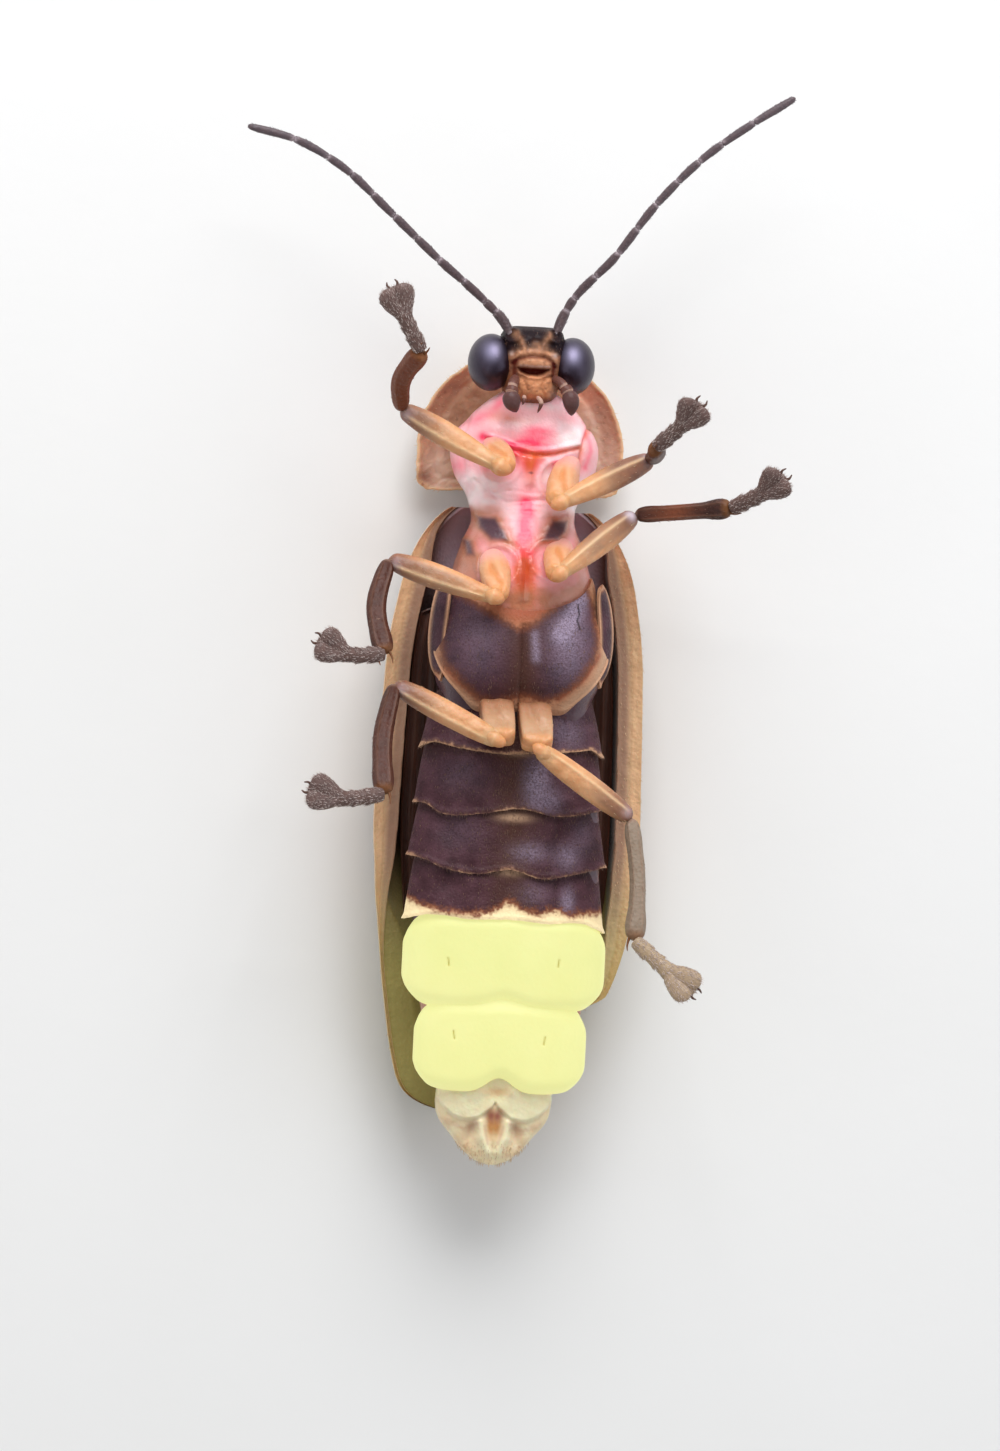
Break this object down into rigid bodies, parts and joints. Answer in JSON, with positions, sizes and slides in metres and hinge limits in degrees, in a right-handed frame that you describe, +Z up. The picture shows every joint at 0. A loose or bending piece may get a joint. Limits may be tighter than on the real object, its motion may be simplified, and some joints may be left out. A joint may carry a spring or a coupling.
{
  "type": "firefly",
  "caption": "Firefly beetle lying on its back, legs raised and feelers spread, with its shield, parted wing cases and the pale light organs of its belly.",
  "frame": {"origin": "centre of the small flat on which the shield behind the head rests, on the body's middle line", "axes": "+Y along the body towards the head and feelers, +X towards the insect's own left side, +Z up out of the belly; the insect lies on its back on z = 0"},
  "size_m": [0.0095, 0.0185, 0.0048],
  "materials": {
    "shield": "thin translucent tan shell with fine pits",
    "flesh": "moist pink and cream membrane",
    "belly_plate": "dark purple-brown shell with a fine pale down",
    "wing_case": "dark brown leathery shell with a tan rim",
    "wing": "smoky folded membrane",
    "thigh": "orange-tan shell, browner at the knee",
    "shank": "red-brown shell with short hairs",
    "foot": "brown shell with silvery pads of hair",
    "eye": "near-black glossy eye of many fine facets",
    "head": "dark red-brown shell with tan lips",
    "feeler": "dark brown, covered with short hairs",
    "lantern": "pale yellow-green light organ",
    "tail": "cream shell with an orange keel"
  },
  "bodies": {
    "root": {"pronotum": "shield", "head": "head", "prothorax": "flesh", "mesothorax": "flesh", "metathorax": "belly_plate", "abdomen_segment_2": "belly_plate", "abdomen_segment_3": "belly_plate", "abdomen_segment_4": "belly_plate", "abdomen_segment_5": "belly_plate", "lantern_segment_6": "lantern", "lantern_segment_7": "lantern", "tail_segment_8": "tail", "eye_left": "eye", "eye_right": "eye", "elytron_left": "wing_case", "elytron_right": "wing_case", "hindwing_left": "wing", "hindwing_right": "wing", "antenna_left_base": "feeler", "antenna_left_middle": "feeler", "antenna_left_tip": "feeler", "antenna_right_base": "feeler", "antenna_right_middle": "feeler", "antenna_right_tip": "feeler", "leg_right_fore_femur": "thigh", "leg_right_fore_tibia": "shank", "leg_right_fore_tarsus": "foot", "leg_left_fore_femur": "thigh", "leg_left_fore_tibia": "shank", "leg_left_fore_tarsus": "foot", "leg_right_mid_femur": "thigh", "leg_right_mid_tibia": "shank", "leg_right_mid_tarsus": "foot", "leg_left_mid_femur": "thigh", "leg_left_mid_tibia": "shank", "leg_left_mid_tarsus": "foot", "leg_right_hind_femur": "thigh", "leg_right_hind_tibia": "shank", "leg_right_hind_tarsus": "foot", "leg_left_hind_femur": "thigh", "leg_left_hind_tibia": "shank", "leg_left_hind_tarsus": "foot"}
  },
  "joints": []
}
